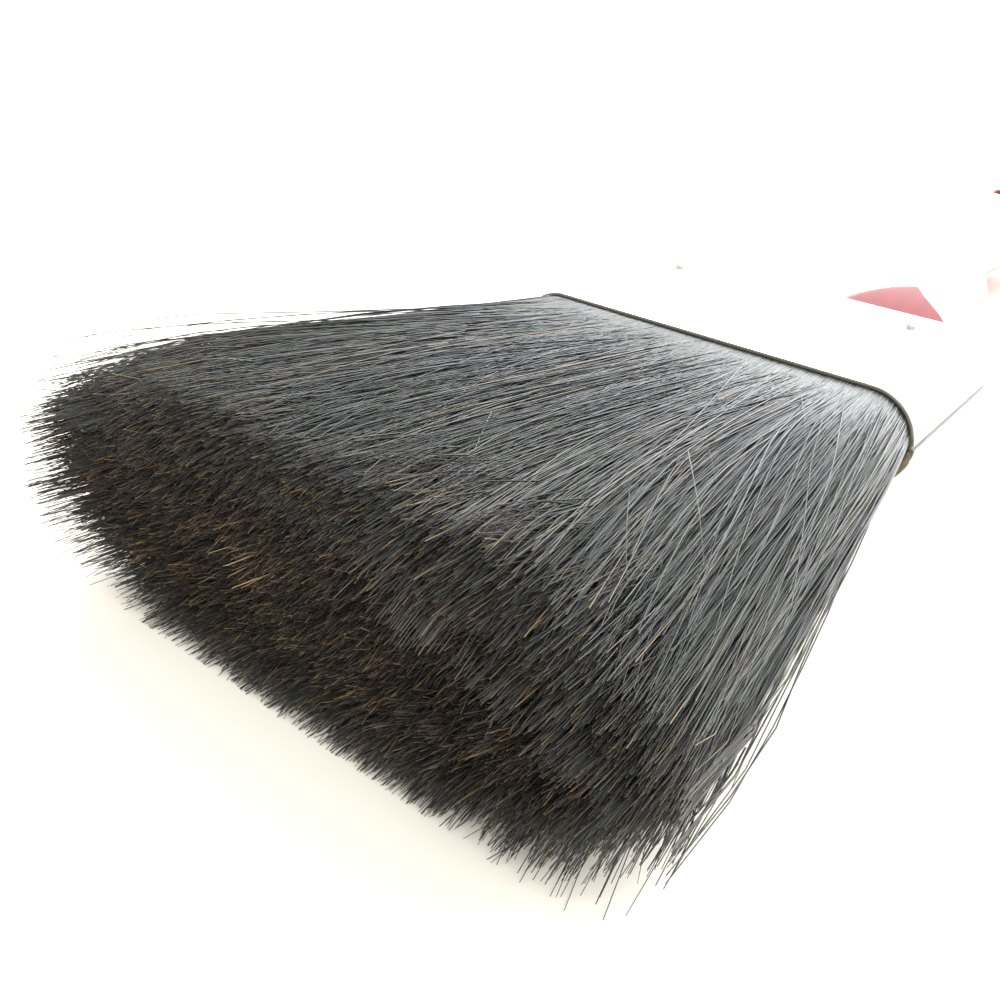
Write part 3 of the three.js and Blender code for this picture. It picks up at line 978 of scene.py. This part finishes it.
hole_points = []
for side in (-1, 1):
    arc = [(hole_radius + hole_edge * (1 - math.cos(t)),
            axis_z + side * (grip_half_thickness - hole_edge + hole_edge * math.sin(t)))
           for t in np.linspace(0, math.pi / 2, 7)]
    flare = (hole_radius + 1.6 * hole_edge, axis_z + side * (grip_half_thickness + hole_edge))
    arc.append(flare)
    hole_points += arc[::-1] if side < 0 else arc
handle_mesh = carve(closed_skin("handle", handle_rings), spindle(hole_points, 0, hole_y, 72))

red_lacquer, lacquer_tree, lacquer_surface = new_material("red_lacquer", 0.32)
lacquer_surface.inputs["Specular IOR Level"].default_value = 0.1
lacquer_surface.inputs["Coat Weight"].default_value = 1.0
lacquer_surface.inputs["Coat Roughness"].default_value = 0.04
lacquer_colour = colour_ramp(lacquer_tree, grain(lacquer_tree, (600, 40, 600), 5.0),
                             [(0.3, (0.20, 0.005, 0.010)), (0.7, (0.28, 0.010, 0.016))])
lacquer_tree.links.new(lacquer_colour, lacquer_surface.inputs["Base Color"])
lacquer_peel = grain(lacquer_tree, (260, 260, 260), 2.0)
lacquer_tree.links.new(bump(lacquer_tree, lacquer_peel, 0.25, 0.05 * MM),
                       lacquer_surface.inputs["Normal"])
place_piece("lacquered_handle", handle_mesh, red_lacquer, "red_lacquer", "handle")

# ---------------------------------------------------------------------------------------------
# Nails: four small domed steel pins, two driven through each face of the ferrule into the
# handle's tongue, their heads standing just proud of the dimpled sheet.
# ---------------------------------------------------------------------------------------------
head_radius = 1.2 * MM
head_height = 0.6 * MM
shank_radius = 0.55 * MM
nail_length = 4.2 * MM
nail_point = 0.9 * MM
nail_seat = ferrule_half_sizes(nail_y)[1] + 0.05 * MM
nail_outline = [(0.02 * MM, -nail_length), (shank_radius, nail_point - nail_length),
                (shank_radius, 0), (head_radius - 0.05 * MM, 0), (head_radius, 0.06 * MM)]
for turn in np.linspace(0.15, math.pi / 2 - 0.02, 9):
    nail_outline.append((head_radius * math.cos(turn), head_height * math.sin(turn)))
nail_mesh = spindle(nail_outline, 0, 0, 28)


def nail_set_tree():
    """Geometry nodes that set one nail, standing at the origin, into both faces of the ferrule."""
    tree, given, result = new_group(
        "nail_set", "GeometryNodeTree",
        {"Nail": "Geometry", "Half Spacing": "Float", "Distance Along": "Float",
         "Seat Height": "Float", "Axis Height": "Float", "Finish": "Material"},
        {"Nails": "Geometry"})
    nodes, links = tree.nodes, tree.links
    number = Field(tree, nodes.new("GeometryNodeInputIndex").outputs[0])
    right = number.run("FLOORED_MODULO", 2.0) * 2.0 - 1.0
    upper = (number * 0.5).run("FLOOR") * 2.0 - 1.0
    where = nodes.new("ShaderNodeCombineXYZ")
    links.new((right * Field(tree, given["Half Spacing"])).socket, where.inputs["X"])
    links.new(given["Distance Along"], where.inputs["Y"])
    height = upper * Field(tree, given["Seat Height"]) + Field(tree, given["Axis Height"])
    links.new(height.socket, where.inputs["Z"])
    turn = nodes.new("ShaderNodeCombineXYZ")
    links.new(((1.0 - upper) * (math.pi / 2)).socket, turn.inputs["X"])
    points = nodes.new("GeometryNodePoints")
    points.inputs["Count"].default_value = 4
    links.new(where.outputs[0], points.inputs["Position"])
    placed = nodes.new("GeometryNodeInstanceOnPoints")
    links.new(points.outputs[0], placed.inputs["Points"])
    links.new(given["Nail"], placed.inputs["Instance"])
    links.new(turn.outputs[0], placed.inputs["Rotation"])
    whole = nodes.new("GeometryNodeRealizeInstances")
    finished = nodes.new("GeometryNodeSetMaterial")
    links.new(placed.outputs[0], whole.inputs["Geometry"])
    links.new(whole.outputs[0], finished.inputs["Geometry"])
    links.new(given["Finish"], finished.inputs["Material"])
    links.new(finished.outputs[0], result["Nails"])
    return tree


nail_steel = plated_metal("nail_steel", (0.72, 0.71, 0.69), (0.35, 0.27, 0.2), 0.28, 0.3)[0]
nails_mesh = made_by(nail_set_tree(), "ferrule_nails", nail_mesh, {
    "Half Spacing": nail_x, "Distance Along": nail_y, "Seat Height": nail_seat,
    "Axis Height": axis_z, "Finish": nail_steel})
place_piece("ferrule_nails", nails_mesh, nail_steel, "nail_steel",
            "nail_top_right", "nail_top_left", "nail_bottom_right", "nail_bottom_left")
